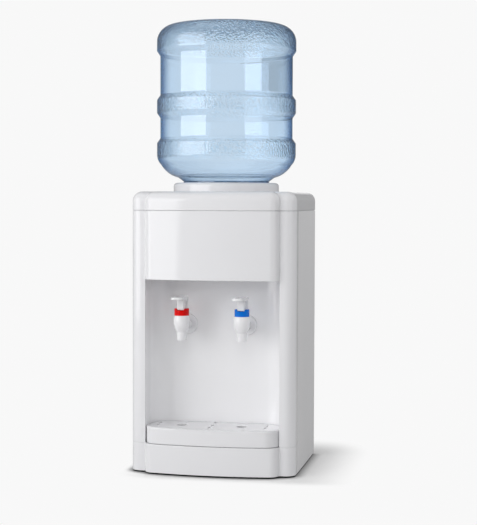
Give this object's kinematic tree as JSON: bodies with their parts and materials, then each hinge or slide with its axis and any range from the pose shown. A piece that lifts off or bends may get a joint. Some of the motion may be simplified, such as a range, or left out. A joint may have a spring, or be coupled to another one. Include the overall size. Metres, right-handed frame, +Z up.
{
  "type": "water dispenser",
  "caption": "Countertop hot and cold water dispenser with an upturned blue bottle, push-lever taps in a niche and a pull-out drip tray.",
  "frame": {"origin": "middle of the dispenser's footprint, on the table that the feet stand on", "axes": "+X to the right seen from the front, -Y out of the front, +Z up"},
  "size_m": [0.314, 0.29, 0.851],
  "materials": {
    "casing_white": "glossy moulded",
    "panel_white": "satin paint",
    "tap_white": "glossy moulded",
    "ring_red": "glossy moulded",
    "ring_blue": "glossy moulded",
    "bottle_blue": "clear blown plastic",
    "cap_blue": "moulded",
    "probe_white": "moulded",
    "foot_rubber": "matt",
    "seal_rubber": "silicone",
    "hose_rubber": "silicone",
    "steel": "brushed",
    "zinc_sheet": "zinc plated",
    "aluminium": "extruded",
    "foam_white": "expanded foam",
    "module_white": "ceramic faced",
    "fan_black": "moulded",
    "board_green": "solder mask",
    "brass": "turned",
    "nut_white": "moulded",
    "switch_black": "moulded",
    "switch_red": "glossy moulded",
    "switch_green": "glossy moulded"
  },
  "bodies": {
    "cabinet": {"base_pan": "casing_white", "front_panel": "casing_white", "niche_liner": "casing_white", "top_cover": "casing_white", "left_side_panel": "panel_white", "right_side_panel": "panel_white", "back_panel": "panel_white", "rubber_feet": "foot_rubber", "casing_screws": "steel", "tank_shelf": "zinc_sheet", "cold_tank": "steel", "cold_tank_lid": "probe_white", "foam_jacket": "foam_white", "cold_block": "aluminium", "peltier_module": "module_white", "heat_sink": "aluminium", "fan_frame": "fan_black", "hot_tank": "steel", "heater_band": "zinc_sheet", "thermostats": "switch_black", "hot_tank_stand": "zinc_sheet", "cold_hose": "hose_rubber", "hot_hose": "hose_rubber", "feed_hose": "hose_rubber", "drain_pipe": "probe_white", "board_standoffs": "brass", "power_board": "board_green", "switch_housing": "switch_black", "cord_gland": "switch_black", "hot_tap_flange": "tap_white", "hot_tap_body": "tap_white", "hot_tap_ring": "ring_red", "hot_tap_spring": "steel", "hot_tap_nut": "nut_white", "cold_tap_flange": "tap_white", "cold_tap_body": "tap_white", "cold_tap_ring": "ring_blue", "cold_tap_spring": "steel", "cold_tap_nut": "nut_white"},
    "collar_seat": {"collar": "casing_white", "feed_probe": "probe_white"},
    "bottle": {"bottle": "bottle_blue", "bottle_cap": "cap_blue"},
    "tray": {"drip_tray": "casing_white"},
    "grille": {"drip_grille": "casing_white"},
    "fan": {"fan_rotor": "fan_black"},
    "heat_rocker": {"heat_switch": "switch_red"},
    "cool_rocker": {"cool_switch": "switch_green"},
    "drain_plug": {"drain_cap": "switch_black"},
    "hot_stem": {"hot_tap_stem": "probe_white", "hot_tap_seal": "seal_rubber", "hot_tap_pin": "steel"},
    "hot_lever": {"hot_tap_lever": "tap_white"},
    "cold_stem": {"cold_tap_stem": "probe_white", "cold_tap_seal": "seal_rubber", "cold_tap_pin": "steel"},
    "cold_lever": {"cold_tap_lever": "tap_white"}
  },
  "joints": [
    {"name": "collar_lift", "type": "slide", "parent": "cabinet", "child": "collar_seat", "axis": [0, 0, 1], "range_m": [0, 0.06]},
    {"name": "bottle_lift", "type": "slide", "parent": "collar_seat", "child": "bottle", "axis": [0, 0, 1], "range_m": [0, 0.09]},
    {"name": "tray_slide", "type": "slide", "parent": "cabinet", "child": "tray", "axis": [0, -1, 0], "range_m": [0, 0.12]},
    {"name": "grille_lift", "type": "slide", "parent": "tray", "child": "grille", "axis": [0, 0, 1], "range_m": [0, 0.04]},
    {"name": "hot_stem_lift", "type": "slide", "parent": "cabinet", "child": "hot_stem", "axis": [0, 0, 1], "range_m": [0, 0.0028], "stiffness_N_per_m": 150, "springref_m": -0.003, "deforming": ["hot_tap_spring"]},
    {"name": "hot_lever_press", "type": "hinge", "parent": "hot_stem", "child": "hot_lever", "pos_m": [-0.0638, -0.094, 0.3168], "axis": [1, 0, 0], "range_deg": [0, 24]},
    {"name": "cold_stem_lift", "type": "slide", "parent": "cabinet", "child": "cold_stem", "axis": [0, 0, 1], "range_m": [0, 0.0028], "stiffness_N_per_m": 150, "springref_m": -0.003, "deforming": ["cold_tap_spring"]},
    {"name": "cold_lever_press", "type": "hinge", "parent": "cold_stem", "child": "cold_lever", "pos_m": [0.0522, -0.094, 0.3168], "axis": [1, 0, 0], "range_deg": [0, 24]},
    {"name": "fan_spin", "type": "hinge", "parent": "cabinet", "child": "fan", "pos_m": [0, 0.124, 0.4225], "axis": [0, 1, 0], "continuous": true},
    {"name": "heat_switch_tip", "type": "hinge", "parent": "cabinet", "child": "heat_rocker", "pos_m": [-0.1065, 0.129, 0.336], "axis": [-1, 0, 0], "range_deg": [0, 14]},
    {"name": "cool_switch_tip", "type": "hinge", "parent": "cabinet", "child": "cool_rocker", "pos_m": [-0.0835, 0.129, 0.336], "axis": [-1, 0, 0], "range_deg": [0, 14]},
    {"name": "drain_cap_pull", "type": "slide", "parent": "cabinet", "child": "drain_plug", "axis": [0, 1, 0], "range_m": [0, 0.03]}
  ],
  "couplings": [
    {"joint": "hot_lever_press", "follows": "hot_stem_lift", "rad_per_m": 125},
    {"joint": "cold_lever_press", "follows": "cold_stem_lift", "rad_per_m": 125}
  ]
}
